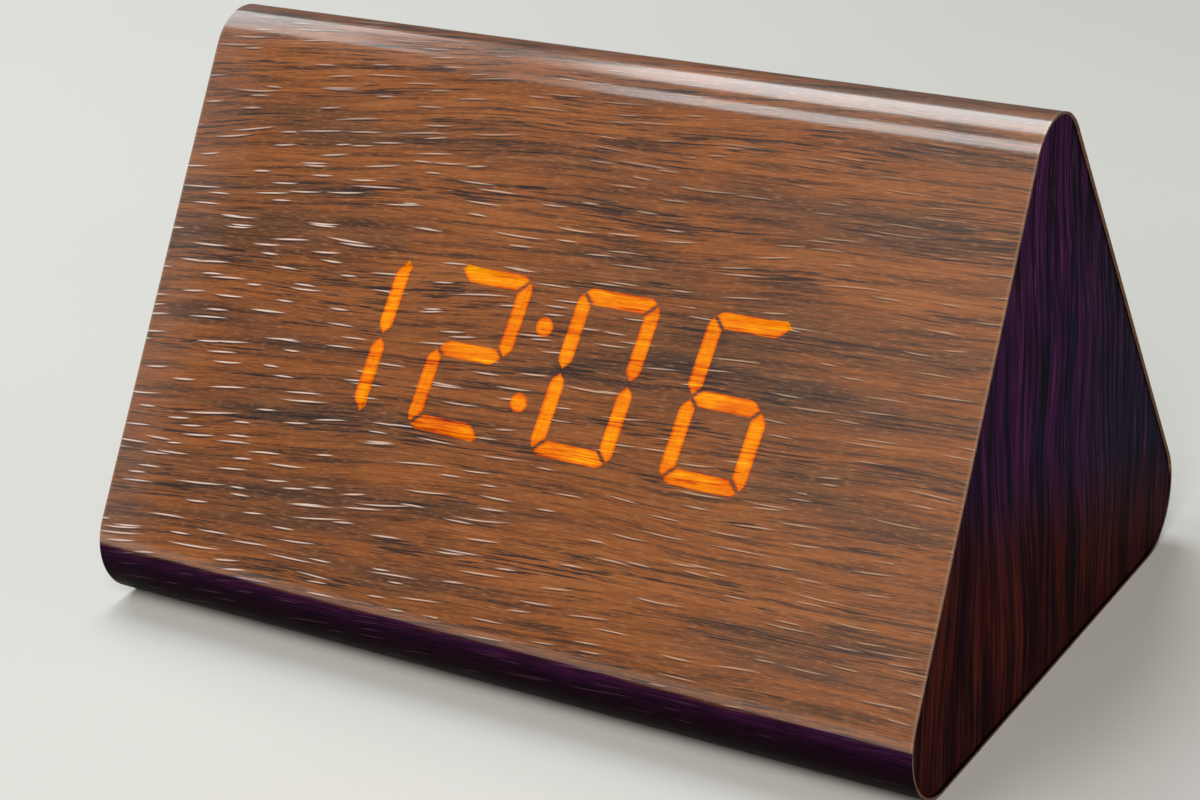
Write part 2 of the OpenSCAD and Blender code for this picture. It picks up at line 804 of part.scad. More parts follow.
module plunger(place) {
  color("ivory") on_rear() translate([button_x(place), button_y, 0])
    disc(plunger_d, plunger_root, plunger_out);
}

module button(place) {
  flange_top = panel_in - 0.05;
  cap_top = panel_out + button_proud;
  edge = 0.5;
  color("#2c2c2e") on_rear() translate([button_x(place), button_y, 0]) {
    disc(3, plunger_out, flange_top - flange_t);
    disc(flange_d, flange_top - flange_t, flange_top);
    rotate_extrude() {
      translate([0, flange_top]) square([button_d / 2, cap_top - edge - flange_top]);
      translate([0, cap_top - edge]) square([button_d / 2 - edge, edge]);
      translate([button_d / 2 - edge, cap_top - edge]) intersection() {
        circle(r = edge);
        square(edge);
      }
    }
  }
}

veneer_wrap();
front_board();
rear_board();
base_board();
end_panel(-1);  // left_end_panel
end_panel(1);  // right_end_panel
end_veneer(-1);  // left_end_veneer
end_veneer(1);  // right_end_veneer
display_housing();
lit_light_bars();
unlit_light_bars();
segment_leds();
display_board();
display_screws();
display_socket();
ribbon_cable();
driver_chip();
main_board();
main_socket();
clock_chip();
crystal();
cell_holder();
backup_cell();
reservoir_capacitor();
small_components();
sounder();
microphone();
thermistor();
usb_shell();
usb_tongue();
tact_switch(0);  // set_switch
tact_switch(1);  // up_switch
tact_switch(2);  // down_switch
plunger(0);  // set_plunger
plunger(1);  // up_plunger
plunger(2);  // down_plunger
button(0);  // set_button
button(1);  // up_button
button(2);  // down_button
rear_panel();
panel_screws();
board_screws();
battery_door();
battery(0);  // battery_1
battery(1);  // battery_2
battery(2);  // battery_3
battery(3);  // battery_4
battery_springs();
battery_contacts();
color("firebrick") battery_lead(lead_y);  // battery_lead_positive
color("black") battery_lead(-lead_y);  // battery_lead_negative
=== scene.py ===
# %% [markdown]
# # A wood-effect alarm clock
# The clock is a triangular fibreboard case wrapped in glossy walnut film. Its numerals shine
# through the film. The CAD model gives every piece its place, so this script loads it first
# and only adds looks: better surfaces, and a few pieces that need finer shapes than CAD gives.

# %% Load the CAD frame
import math

import bmesh
import bpy
from mathutils import Euler, Matrix, Vector


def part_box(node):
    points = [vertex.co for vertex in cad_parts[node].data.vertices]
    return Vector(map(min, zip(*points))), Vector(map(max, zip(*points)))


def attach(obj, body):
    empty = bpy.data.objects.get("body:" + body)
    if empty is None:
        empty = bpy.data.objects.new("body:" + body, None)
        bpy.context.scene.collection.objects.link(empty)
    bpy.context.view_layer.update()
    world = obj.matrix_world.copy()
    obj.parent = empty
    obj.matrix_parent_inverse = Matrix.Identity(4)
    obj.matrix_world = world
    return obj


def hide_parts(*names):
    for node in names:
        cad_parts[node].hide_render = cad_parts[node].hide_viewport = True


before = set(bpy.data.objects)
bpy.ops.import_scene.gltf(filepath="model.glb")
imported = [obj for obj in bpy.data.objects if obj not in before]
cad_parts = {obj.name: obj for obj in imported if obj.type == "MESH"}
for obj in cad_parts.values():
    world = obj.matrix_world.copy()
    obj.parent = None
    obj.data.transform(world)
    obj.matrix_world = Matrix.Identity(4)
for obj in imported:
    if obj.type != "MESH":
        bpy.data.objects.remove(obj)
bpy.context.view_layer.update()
MM = 0.001
scene = bpy.context.scene
scene.view_settings.view_transform = "Standard"

# %% [markdown]
# ## The case's measures
# The case is a triangular prism with three rounded long edges. Its length, depth and height are
# read from the CAD node's own box, so they can't drift from the CAD model. A box doesn't show
# a radius or a thickness, so those are the CAD model's values, written once here. The angle of
# the front face and the two ends of its flat part follow from them.

# %% Measure the case
case_low, case_high = (Vector(corner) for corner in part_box("veneer_wrap"))
LENGTH = case_high.x - case_low.x
DEPTH = case_high.y - case_low.y
HEIGHT = case_high.z - case_low.z
BASE_RADIUS = 8.8 * MM
RIDGE_RADIUS = 7.5 * MM
FILM = 0.35 * MM
SEAM_Y = DEPTH / 4
SEAM_GAP = 0.3 * MM

foot_y = DEPTH / 2 - BASE_RADIUS
front_centre = Vector((0, -foot_y, BASE_RADIUS))
ridge_centre = Vector((0, 0, HEIGHT - RIDGE_RADIUS))
rise = ridge_centre - front_centre
slope = math.atan2(rise.z, rise.y) - math.asin((BASE_RADIUS - RIDGE_RADIUS) / rise.length)
face_normal = Vector((0, -math.sin(slope), math.cos(slope)))
face_up = Vector((0, math.cos(slope), math.sin(slope)))
low_tangent = front_centre + BASE_RADIUS * face_normal
high_tangent = ridge_centre + RIDGE_RADIUS * face_normal
face_middle = (low_tangent + high_tangent) / 2
flat = (high_tangent - low_tangent).length
print("slope %.2f degrees, flat part %.1f mm" % (math.degrees(slope), flat / MM))

# %% [markdown]
# ## The camera
# The camera stands a little above the clock, in front of its right end. A long lens from
# further away keeps the case's long edges nearly parallel, where a short lens up close would
# make the near corner look too big. The lens is shifted, so that the clock fills the frame
# without turning the camera away from it.

# %% Place the camera
camera_data = bpy.data.cameras.new("camera")
camera_data.lens = 84.4
camera_data.sensor_width = 36
camera_data.shift_x = -0.010
camera_data.shift_y = -0.121
camera_data.clip_start = 0.01
camera = bpy.data.objects.new("camera", camera_data)
camera.location = (0.1875, -0.3031, 0.1862)
camera.rotation_euler = Euler([math.radians(a) for a in (68.79, 2.69, 31.03)])
scene.collection.objects.link(camera)
scene.camera = camera
print("camera is %.0f mm from the middle of the case" % (camera.location.length / MM))

# %% [markdown]
# ## Helpers for shader nodes
# Every finish here is procedural: its colour, roughness and relief come from noise and
# arithmetic nodes. An image file would have to travel with the scene and would blur close up,
# while a procedural finish stays sharp at any distance and has no seam. Wiring nodes one by one
# takes many lines, so each helper does one small job and returns the socket that it made.


# %% Materials, sums and vectors
def new_material(name):
    """Returns a material's node tree and its main shader, ready to be wired."""
    material = bpy.data.materials.new(name)
    material.use_nodes = True
    return material, material.node_tree, material.node_tree.nodes["Principled BSDF"]


def plug(tree, socket, value):
    """Joins a node's output to a socket, or sets the socket to a plain value."""
    if isinstance(value, bpy.types.NodeSocket):
        tree.links.new(value, socket)
    else:
        socket.default_value = value


def wire(tree, node, **values):
    """Fills sockets by name, with underscores for spaces."""
    for name, value in values.items():
        plug(tree, node.inputs[name.replace("_", " ")], value)
    return node


def calc(tree, operation, *values, clamp=False):
    """One step of arithmetic on sockets and numbers."""
    node = tree.nodes.new("ShaderNodeMath")
    node.operation = operation
    node.use_clamp = clamp
    for socket, value in zip(node.inputs, values):
        plug(tree, socket, value)
    return node.outputs[0]


def pack(tree, x=0.0, y=0.0, z=0.0):
    """Three numbers as one vector."""
    node = tree.nodes.new("ShaderNodeCombineXYZ")
    for socket, value in zip(node.inputs, (x, y, z)):
        plug(tree, socket, value)
    return node.outputs[0]


def split(tree, vector):
    """A vector as three numbers."""
    node = tree.nodes.new("ShaderNodeSeparateXYZ")
    plug(tree, node.inputs[0], vector)
    return node.outputs


print("helpers for materials, sums and vectors are ready")


# %% Noise, colour, relief and coordinates
def noise(tree, vector, scale=1.0, detail=2.0, roughness=0.5):
    """Smooth random values between 0 and 1."""
    node = tree.nodes.new("ShaderNodeTexNoise")
    wire(tree, node, Vector=vector, Scale=scale, Detail=detail, Roughness=roughness)
    return node.outputs[0]


def ramp(tree, value, stops):
    """Turns a number into a colour, through colours placed between 0 and 1."""
    node = tree.nodes.new("ShaderNodeValToRGB")
    elements = node.color_ramp.elements
    while len(elements) < len(stops):
        elements.new(0.5)
    for element, (position, colour) in zip(elements, stops):
        element.position = position
        element.color = (*colour, 1)
    plug(tree, node.inputs[0], value)
    return node.outputs[0]


def blend(tree, share, below, above):
    """Lays one colour over another."""
    node = tree.nodes.new("ShaderNodeMix")
    node.data_type = "RGBA"
    plug(tree, node.inputs[0], share)
    for socket, value in zip(node.inputs[6:8], (below, above)):
        plug(tree, socket, value if isinstance(value, bpy.types.NodeSocket) else (*value, 1))
    return node.outputs[2]


def fade(tree, value, start, end, low=0.0, high=1.0):
    """Runs smoothly from low at start to high at end."""
    node = tree.nodes.new("ShaderNodeMapRange")
    node.interpolation_type = "SMOOTHSTEP"
    for socket, number in zip(node.inputs[:5], (value, start, end, low, high)):
        plug(tree, socket, number)
    return node.outputs[0]


def bump(tree, height, depth, strength=1.0):
    """Turns a height into a normal; depth is in metres."""
    node = wire(tree, tree.nodes.new("ShaderNodeBump"), Height=height, Distance=depth,
                Strength=strength)
    return node.outputs[0]


def place(tree, scale=(1, 1, 1)):
    """Object coordinates in millimetres, stretched as asked."""
    where = tree.nodes.new("ShaderNodeTexCoord").outputs["Object"]
    node = tree.nodes.new("ShaderNodeMapping")
    wire(tree, node, Vector=where, Scale=[s / MM for s in scale])
    return node.outputs[0]


print("helpers for noise, colour and relief are ready")

# %% [markdown]
# ## The floor
# The clock stands on a plain pale floor that reaches out of view on every side. One large face
# is enough for a flat floor. Its tone wanders very slightly, as a real surface's does.


# %% Floor
def make_floor():
    """A wide pale floor, very slightly uneven in tone."""
    half_width = 12
    sheet = bmesh.new()
    bmesh.ops.create_grid(sheet, x_segments=1, y_segments=1, size=half_width)
    mesh = bpy.data.meshes.new("floor")
    sheet.to_mesh(mesh)
    sheet.free()
    floor = bpy.data.objects.new("floor", mesh)
    scene.collection.objects.link(floor)
    material, tree, shader = new_material("pale floor")
    tone = noise(tree, place(tree), scale=0.004, detail=3)
    wire(tree, shader, Base_Color=ramp(tree, tone, [(0.3, (0.62, 0.59, 0.55)),
                                                    (0.7, (0.66, 0.63, 0.59))]))
    wire(tree, shader, Roughness=0.7)
    mesh.materials.append(material)


make_floor()
print("floor made")

# %% [markdown]
# ## The lights
# Glossy film shows that it is rounded by what it mirrors. Two long soft lights hang overhead,
# to the left, and the ridge mirrors them as two pale bands with a brown line between them. A
# third one, further to the left, carries the bands on to the ridge's left end. Area lights
# are used, because their width sets the width of a band, which a point light or a sun can't
# do. The key light stands in front and above, and lights the wood itself.


# %% Lights
def soft_light(name, location, target, size, watts, colour=(1, 1, 1)):
    """A rectangular softbox that faces its target."""
    lamp = bpy.data.lights.new(name, "AREA")
    lamp.shape = "RECTANGLE"
    lamp.size, lamp.size_y = size
    lamp.energy = watts
    lamp.color = colour
    light = bpy.data.objects.new(name, lamp)
    light.location = location
    aim = Vector(target) - Vector(location)
    light.rotation_euler = aim.to_track_quat("-Z", "Y").to_euler()
    scene.collection.objects.link(light)


def overhead(name, angle, spread, start, end, watts):
    """A softbox above the clock, at an angle from the rear horizon, that reaches along X."""
    reach = 1.0
    cool = (0.90, 0.98, 1.0)
    spot = Vector(((start + end) / 2, reach * math.cos(angle), reach * math.sin(angle)))
    target = (spot.x, 0, ridge_centre.z)
    size = (end - start, 2 * reach * math.tan(spread / 2))
    soft_light(name, spot, target, size, watts, cool)


overhead("ridge light back", angle=math.radians(73), spread=math.radians(34),
         start=-0.55, end=-0.10, watts=5.0)
overhead("ridge light front", angle=math.radians(119), spread=math.radians(18),
         start=-0.55, end=-0.10, watts=2.5)
overhead("left glow", angle=math.radians(75), spread=math.radians(50),
         start=-1.25, end=-0.70, watts=5.0)
soft_light("key", location=(0.5, -1.1, 1.0), target=(0, 0, 0.03), size=(0.7, 0.7), watts=17,
           colour=(1, 0.97, 0.93))
world = bpy.data.worlds.new("studio")
world.use_nodes = True
sky = world.node_tree.nodes["Background"]
sky.inputs["Color"].default_value = (0.80, 0.85, 0.93, 1)
sky.inputs["Strength"].default_value = 0.10
scene.world = world
print("lights:", sorted(light.name for light in bpy.data.lights))

# %% [markdown]
# ## The walnut pattern
# The film is printed with walnut grain and embossed with short pores. From coarse to fine it
# shows broad brown bands, streaks, fibres, broken dark lines and pale dashes, which are painted
# highlights where the pores catch the light, each with a painted line of shade beside it. A
# faint painted sheen lightens the face toward its left and right ends. Stretched noise makes
# all but the dashes. Noise can't make a dash, which is short, thin and separate, so each one is
# drawn by arithmetic: the sheet is cut into rows and cells, and a cell holds one dash of its own
# length, place, tilt and bow. White noise of the cell's number decides those, and is the same
# each time.


# %% One layer of dashes
def dashes(tree, along, across, cell, row, seed, share, longest, width, softness):
    """Masks of thin dashes, drawn as painted highlights, and of the painted shade beside them.
    Lengths are in millimetres.
    """
    def centred(value):
        return calc(tree, "SUBTRACT", value, 0.5)

    lane = calc(tree, "ADD", calc(tree, "DIVIDE", across, row), seed * 7.31)
    lane_number = calc(tree, "FLOOR", lane)
    lane_dice = tree.nodes.new("ShaderNodeTexWhiteNoise")
    wire(tree, lane_dice, Vector=pack(tree, lane_number, seed, 3.7))
    run = calc(tree, "ADD", calc(tree, "DIVIDE", along, cell), lane_dice.outputs[0])
    cell_number = calc(tree, "FLOOR", run)
    dice = tree.nodes.new("ShaderNodeTexWhiteNoise")
    wire(tree, dice, Vector=pack(tree, cell_number, lane_number, seed))
    first, second, third = split(tree, dice.outputs[1])
    more = tree.nodes.new("ShaderNodeTexWhiteNoise")
    wire(tree, more, Vector=pack(tree, cell_number, lane_number, seed + 11.3))
    fourth, fifth, sixth = split(tree, more.outputs[1])
    reach = calc(tree, "MULTIPLY_ADD", calc(tree, "POWER", first, 1.4), longest * 0.30,
                 longest * 0.20)
    x = calc(tree, "MULTIPLY_ADD", calc(tree, "FRACT", run), cell, -cell / 2)
    spare = calc(tree, "MULTIPLY_ADD", reach, -2, cell)
    x = calc(tree, "SUBTRACT", x, calc(tree, "MULTIPLY", centred(second), spare))
    y = calc(tree, "MULTIPLY_ADD", calc(tree, "FRACT", lane), row, -row / 2)
    y = calc(tree, "SUBTRACT", y, calc(tree, "MULTIPLY", centred(third), row * 0.6))
    tilt = calc(tree, "MULTIPLY", centred(fourth), 0.09)
    bow = calc(tree, "MULTIPLY", calc(tree, "SUBTRACT", fifth, 0.3), 0.018)
    path = calc(tree, "MULTIPLY", x, calc(tree, "MULTIPLY_ADD", x, bow, tilt))
    y = calc(tree, "SUBTRACT", y, path)
    taper = calc(tree, "SUBTRACT", 1, calc(tree, "POWER", calc(tree, "DIVIDE", x, reach), 2))
    thickness = calc(tree, "MULTIPLY", calc(tree, "MAXIMUM", taper, 0), width)
    held = calc(tree, "LESS_THAN", sixth, share)

    def line(offset):
        away = calc(tree, "ABSOLUTE", calc(tree, "ADD", y, offset))
        edge = calc(tree, "DIVIDE", calc(tree, "SUBTRACT", thickness, away), softness, clamp=True)
        return calc(tree, "MULTIPLY", edge, held)

    return line(0.0), line(calc(tree, "MULTIPLY", width, 1.9))


print("dashes ready")

# %% [markdown]
# ## Layers of the sheet
# All layers read the sheet's own flat layout, not the object's coordinates. Object coordinates
# would stretch the grain where the sheet turns over the ridge, while the flat layout wraps
# round unbroken. The dashes are denser and brighter toward the left, where the light grazes
# the relief, and the grain runs slightly downhill and waves a little, as sawn wood's does.


# %% The whole sheet
def walnut(tree):
    """Reads the sheet's own layout and returns the pattern's parts."""
    sheet = tree.nodes.new("ShaderNodeUVMap")
    sheet.uv_map = "sheet"
    where = tree.nodes.new("ShaderNodeMapping")
    wire(tree, where, Vector=sheet.outputs[0], Scale=(1 / MM, 1 / MM, 1))
    along, straight, _ = split(tree, where.outputs[0])
    drift = pack(tree, calc(tree, "DIVIDE", along, 46), calc(tree, "DIVIDE", straight, 16))
    wave = noise(tree, drift, detail=1)
    across = calc(tree, "MULTIPLY_ADD", calc(tree, "SUBTRACT", wave, 0.5), 3.4, straight)
    lean = calc(tree, "MULTIPLY_ADD", along, 0.0004, -0.068)
    across = calc(tree, "MULTIPLY_ADD", along, lean, across)

    def grain(length, width, detail, roughness, seed):
        spot = pack(tree, calc(tree, "DIVIDE", along, length), calc(tree, "DIVIDE", across, width),
                    seed)
        return noise(tree, spot, detail=detail, roughness=roughness)

    bands = grain(60, 6.5, 3, 0.55, 2.0)
    streaks = grain(22, 0.85, 4, 0.62, 5.0)
    fibres = grain(6, 0.24, 2, 0.6, 8.0)
    breaks = grain(9.5, 0.29, 3, 0.60, 11.0)
    specks = grain(1.6, 0.22, 1, 0.5, 17.0)
    clusters = grain(44, 3.6, 2, 0.5, 14.0)

    colour = ramp(tree, bands, [(0.29, (0.074, 0.033, 0.016)), (0.41, (0.168, 0.056, 0.017)),
                                (0.51, (0.266, 0.076, 0.014)), (0.68, (0.330, 0.100, 0.020))])
    for layer, none_at, most_at, most, tone in (
            (streaks, 0.52, 0.34, 0.85, (0.042, 0.018, 0.010)),
            (streaks, 0.54, 0.72, 0.60, (0.370, 0.135, 0.044)),
            (fibres, 0.60, 0.30, 0.50, (0.048, 0.017, 0.008)),
            (specks, 0.50, 0.78, 0.45, (0.42, 0.175, 0.070))):
        colour = blend(tree, fade(tree, layer, none_at, most_at, 0, most), colour, tone)
    threshold = fade(tree, clusters, 0.36, 0.62, 0.51, 0.67)
    cuts = fade(tree, calc(tree, "SUBTRACT", breaks, threshold), 0.0, 0.05)
    colour = blend(tree, calc(tree, "MULTIPLY", cuts, 0.88), colour, (0.014, 0.007, 0.006))

    left = fade(tree, along, -66, 66, 1, 0)
    many = calc(tree, "MULTIPLY_ADD", left, 0.26, 0.42)
    thick = calc(tree, "MULTIPLY_ADD", left, 0.035, 0.105)
    long_ones, long_shade = dashes(tree, along, across, 15, 2.1, 3.0, many, 11, thick, 0.09)
    short_ones, short_shade = dashes(tree, along, across, 11, 1.7, 9.0, many, 7.5, thick, 0.08)
    pores_and_glints = calc(tree, "MAXIMUM", long_ones, short_ones)
    shades = calc(tree, "MAXIMUM", long_shade, short_shade)
    # Painted shade: a dark line beside each pore dash.
    colour = blend(tree, calc(tree, "MULTIPLY", shades, 0.78), colour, (0.020, 0.009, 0.006))
    # Painted highlights: the pale dashes, where the pores catch the light, brighter toward the left
    # and dimmer below the ridge.
    ridge_starts = (front_low_at + flat) / MM
    calm = fade(tree, straight, ridge_starts - 24, ridge_starts - 2, 1, 0.42)
    glint_brightness = calc(tree, "MULTIPLY", calm, calc(tree, "MULTIPLY_ADD", left, 0.26, 0.72))
    pale = blend(tree, left, (0.58, 0.34, 0.19), (0.80, 0.62, 0.54))
    colour = blend(tree, calc(tree, "MULTIPLY", pores_and_glints, glint_brightness), colour, pale)
    # Painted light: a greyish reflected sheen toward the face's left end, and a paler warm tone
    # toward its right end where the key light falls.
    left_painted_sheen, right_painted_light = (0.27, 0.20, 0.18), (0.46, 0.28, 0.20)
    colour = blend(tree, fade(tree, along, -50, -62.5, 0, 0.19), colour, left_painted_sheen)
    colour = blend(tree, fade(tree, along, 15, 60, 0, 0.085), colour, right_painted_light)
    return {"along": along, "straight": straight, "colour": colour, "cuts": cuts, "pores_and_glints": pores_and_glints,
            "fibres": fibres, "streaks": streaks, "specks": specks}


print("walnut pattern ready")

# %% [markdown]
# ## The film
# One sheet of film is wrapped round the three long faces and meets itself in a seam under the
# base. A bevelled prism would give the same outside, but not the seam, the film's thickness or
# its unrolled layout. So it is made as the real one is, as a strip: a vertex is drawn along the
# straights and spun round the three corners, which gives the cross-section as one open line.


# %% Draw the film's section
def go_straight(bm, vertex, target):
    """Draws a line from a vertex, with a short step at each end to hold the flat flat."""
    margin = 0.5 * MM
    step = (target - vertex.co).normalized() * margin
    for spot in (vertex.co + step, target - step, target):
        vertex = bmesh.ops.extrude_vert_indiv(bm, verts=[vertex])["verts"][0]
        vertex.co = spot
    return vertex


def go_round(bm, vertex, centre, angle, steps):
    """Spins a vertex about a centre line that runs along the case."""
    spun = bmesh.ops.spin(bm, geom=[vertex], cent=centre, axis=(1, 0, 0), angle=angle, steps=steps,
                          dvec=(0, 0, 0), use_duplicate=False)
    return next(item for item in spun["geom_last"] if isinstance(item, bmesh.types.BMVert))


def to_left(point):
    """The same point at the case's left end."""
    return Vector((case_low.x, point.y, point.z))


def behind(point):
    """The mirror image of a point or a direction, on the rear side."""
    return Vector((point.x, -point.y, point.z))


CORNER_STEPS = 32
film_bm = bmesh.new()
corner_turn = -(math.pi - slope)
start = film_bm.verts.new(to_left(Vector((0, SEAM_Y - SEAM_GAP / 2, 0))))
point = go_straight(film_bm, start, to_left(Vector((0, -foot_y, 0))))
point = go_round(film_bm, point, to_left(front_centre), corner_turn, CORNER_STEPS)
point = go_straight(film_bm, point, to_left(high_tangent))
point = go_round(film_bm, point, to_left(ridge_centre), -2 * slope, CORNER_STEPS)
point = go_straight(film_bm, point, behind(to_left(low_tangent)))
point = go_round(film_bm, point, behind(to_left(front_centre)), corner_turn, CORNER_STEPS)
point = go_straight(film_bm, point, to_left(Vector((0, SEAM_Y + SEAM_GAP / 2, 0))))
bmesh.ops.remove_doubles(film_bm, verts=film_bm.verts, dist=0.001 * MM)
print("the section has", len(film_bm.verts), "points")

# %% [markdown]
# ## The sheet's layout
# The line is now drawn out along the case into a sheet. Before that, each point is numbered
# with its distance along the line, and that number becomes the second UV coordinate, with X as
# the first. An automatic unwrap could cut the sheet into islands, but this map is the sheet
# laid flat, in metres, so a grain of 1 mm stays 1 mm everywhere.


# %% Measure along the sheet and draw it out
def walk(bm, distance):
    """Numbers the vertices by their distance along an open line, from its front end."""
    before, total = None, 0.0
    here = next(v for v in bm.verts if len(v.link_edges) == 1 and v.co.y < SEAM_Y)
    while here:
        here[distance] = total
        ahead = [e.other_vert(here) for e in here.link_edges if e.other_vert(here) != before]
        if ahead:
            total += (ahead[0].co - here.co).length
        before, here = here, ahead[0] if ahead else None
    return total


distance = film_bm.verts.layers.float.new("distance")
sheet_width = walk(film_bm, distance)
drawn = bmesh.ops.extrude_edge_only(film_bm, edges=film_bm.edges[:])
moved = [item for item in drawn["geom"] if isinstance(item, bmesh.types.BMVert)]
bmesh.ops.translate(film_bm, verts=moved, vec=(LENGTH, 0, 0))
layout = film_bm.loops.layers.uv.new("sheet")
for face in film_bm.faces:
    face.smooth = True
    for loop in face.loops:
        loop[layout].uv = (loop.vert.co.x, loop.vert[distance])
bmesh.ops.recalc_face_normals(film_bm, faces=film_bm.faces)
film_bm.faces.ensure_lookup_table()
tallest = max(film_bm.faces, key=lambda f: f.calc_area())
if tallest.normal.dot(tallest.calc_center_median() - ridge_centre * 0.5) < 0:
    bmesh.ops.reverse_faces(film_bm, faces=film_bm.faces)
under = SEAM_Y - SEAM_GAP / 2 + foot_y
front_low_at = under + BASE_RADIUS * (math.pi - slope)
rear_low_at = front_low_at + 2 * flat + RIDGE_RADIUS * 2 * slope
print("the sheet is %.1f mm wide" % (sheet_width / MM))

# %% [markdown]
# ## Thickness and opening
# A Solidify modifier thickens the sheet inwards, so its outside stays where the CAD model has
# it. The opening for the rear panel is cut with an exact Boolean, which follows its rounded
# corners without changing the flat face round them. Both are applied, and then the shading is
# split at sharp edges: otherwise the cut rim would bend the light on the flat faces.


# %% Helpers for objects
def to_object(bm, name, *materials):
    """Makes a mesh object from a bmesh."""
    mesh = bpy.data.meshes.new(name)
    bm.to_mesh(mesh)
    bm.free()
    for material in materials:
        mesh.materials.append(material)
    made = bpy.data.objects.new(name, mesh)
    scene.collection.objects.link(made)
    return made


def apply_all(made):
    """Turns an object's live modifiers into plain mesh."""
    graph = bpy.context.evaluated_depsgraph_get()
    mesh = bpy.data.meshes.new_from_object(made.evaluated_get(graph))
    made.modifiers.clear()
    made.data = mesh
    return made


def rear_matrix():
    """Places a piece drawn flat at the origin onto the rear face, with Z pointing outwards."""
    outwards = behind(face_normal)
    upwards = behind(face_up)
    sideways = upwards.cross(outwards)
    turn = Matrix((sideways, upwards, outwards)).transposed().to_4x4()
    return Matrix.Translation(behind(face_middle)) @ turn


def rounded_block(length, width, low, high, radius, steps=10):
    """A block with four rounded upright edges, drawn flat at the origin."""
    bm = bmesh.new()
    bmesh.ops.create_cube(bm, size=1)
    bmesh.ops.scale(bm, vec=(length, width, high - low), verts=bm.verts)
    bmesh.ops.translate(bm, vec=(0, 0, (high + low) / 2), verts=bm.verts)
    upright = [e for e in bm.edges if abs(e.verts[0].co.z - e.verts[1].co.z) > (high - low) / 2]
    bmesh.ops.bevel(bm, geom=upright, offset=radius, offset_type="OFFSET", segments=steps,
                    profile=0.5, affect="EDGES", material=-1)
    return bm


print("helpers for objects are ready")

# %% Thicken the sheet and cut the opening at the back
OPENING_LENGTH = 106.6 * MM
OPENING_WIDTH = 58.6 * MM
OPENING_RADIUS = 3.3 * MM
CUT_DEPTH = 3 * MM
SHARP_ANGLE = math.radians(30)

film = to_object(film_bm, "wood_film")
wall = film.modifiers.new("thickness", "SOLIDIFY")
wall.thickness = FILM
wall.offset = -1
wall.use_even_offset = True
hole = rounded_block(OPENING_LENGTH, OPENING_WIDTH, -CUT_DEPTH, CUT_DEPTH, OPENING_RADIUS)
bmesh.ops.transform(hole, matrix=rear_matrix(), verts=hole.verts)
cutter = to_object(hole, "opening_cutter")
cut = film.modifiers.new("opening", "BOOLEAN")
cut.object = cutter
cut.operation = "DIFFERENCE"
cut.solver = "EXACT"
apply_all(film)
film.data.set_sharp_from_angle(angle=SHARP_ANGLE)
bpy.data.objects.remove(cutter)
print("the film has", len(film.data.polygons), "faces")

# %% [markdown]
# ## Finish of the film
# The film is a print under a clear gloss. Round the two lower edges, shade is painted into the
# print: it turns plum-black, with a ragged border that follows the grain. A coat over a rougher
# base makes the gloss: its sharp mirror shows the lights on the ridge, and the base keeps the
# wood's colour. The turned edge under the painted shade has no coat, because a gloss there would
# mirror the pale floor and look grey. The film's cut edge shows its pale core, and a thin painted
# highlight runs along each end of the face.


# %% Materials of the film
def film_material(name, specular, coat):
    """Walnut print with painted shade, plum-black, round the lower edges, under a clear gloss or
    none.
    """
    material, tree, shader = new_material(name)
    parts = walnut(tree)
    # Painted shade: below the lower tangent lines the print turns violet, then plum-black, where
    # the underside gets no light.
    front_turn = calc(tree, "SUBTRACT", front_low_at / MM, parts["straight"])
    rear_turn = calc(tree, "SUBTRACT", parts["straight"], rear_low_at / MM)
    below = calc(tree, "MAXIMUM", front_turn, rear_turn)
    ragged = calc(tree, "MULTIPLY_ADD", parts["streaks"], 2.6, calc(tree, "SUBTRACT", below, 0.5))
    ragged = calc(tree, "MULTIPLY_ADD", parts["fibres"], 0.8, calc(tree, "SUBTRACT", ragged, 0.4))
    painted_shade_share = fade(tree, ragged, 3.7, 4.7)
    depth_shown = 20
    painted_underside_shade = ramp(tree, calc(tree, "DIVIDE", ragged, depth_shown), [
        (0.20, (0.050, 0.014, 0.034)), (0.25, (0.044, 0.008, 0.038)), (0.32, (0.016, 0.003, 0.013)),
        (0.45, (0.010, 0.002, 0.004)), (0.62, (0.005, 0.002, 0.003)), (1.0, (0.004, 0.002, 0.002))])
    painted_underside_shade = blend(tree, fade(tree, parts["fibres"], 0.35, 0.7, 0.75, 0), painted_underside_shade, (0.003, 0.001, 0.003))
    # Painted highlights: dim pinkish pore glints within the painted shade.
    painted_underside_shade = blend(tree, calc(tree, "MULTIPLY", parts["pores_and_glints"], 0.08), painted_underside_shade, (0.45, 0.22, 0.30))
    half = LENGTH / MM / 2
    # Painted highlight: a thin pale line along each end of the face, where the film's cut edge
    # catches the light.
    painted_end_highlight = fade(tree, calc(tree, "ABSOLUTE", parts["along"]), half - 0.45, half - 0.15, 0, 0.28)
    wood = blend(tree, painted_end_highlight, parts["colour"], (0.42, 0.24, 0.15))
    wire(tree, shader, Base_Color=blend(tree, painted_shade_share, wood, painted_underside_shade))
    rough = calc(tree, "MULTIPLY_ADD", parts["streaks"], 0.16, 0.34)
    wire(tree, shader, Roughness=calc(tree, "MULTIPLY_ADD", parts["pores_and_glints"], -0.08, rough),
         Specular_IOR_Level=specular, Coat_Weight=coat, Coat_Roughness=0.13, Coat_IOR=1.65)
    relief = calc(tree, "MULTIPLY_ADD", parts["cuts"], -0.5,
                  calc(tree, "MULTIPLY", parts["pores_and_glints"], -1))
    relief = calc(tree, "MULTIPLY_ADD", parts["fibres"], 0.22, relief)
    wire(tree, shader, Normal=bump(tree, relief, 0.035 * MM, 0.9))
    return material


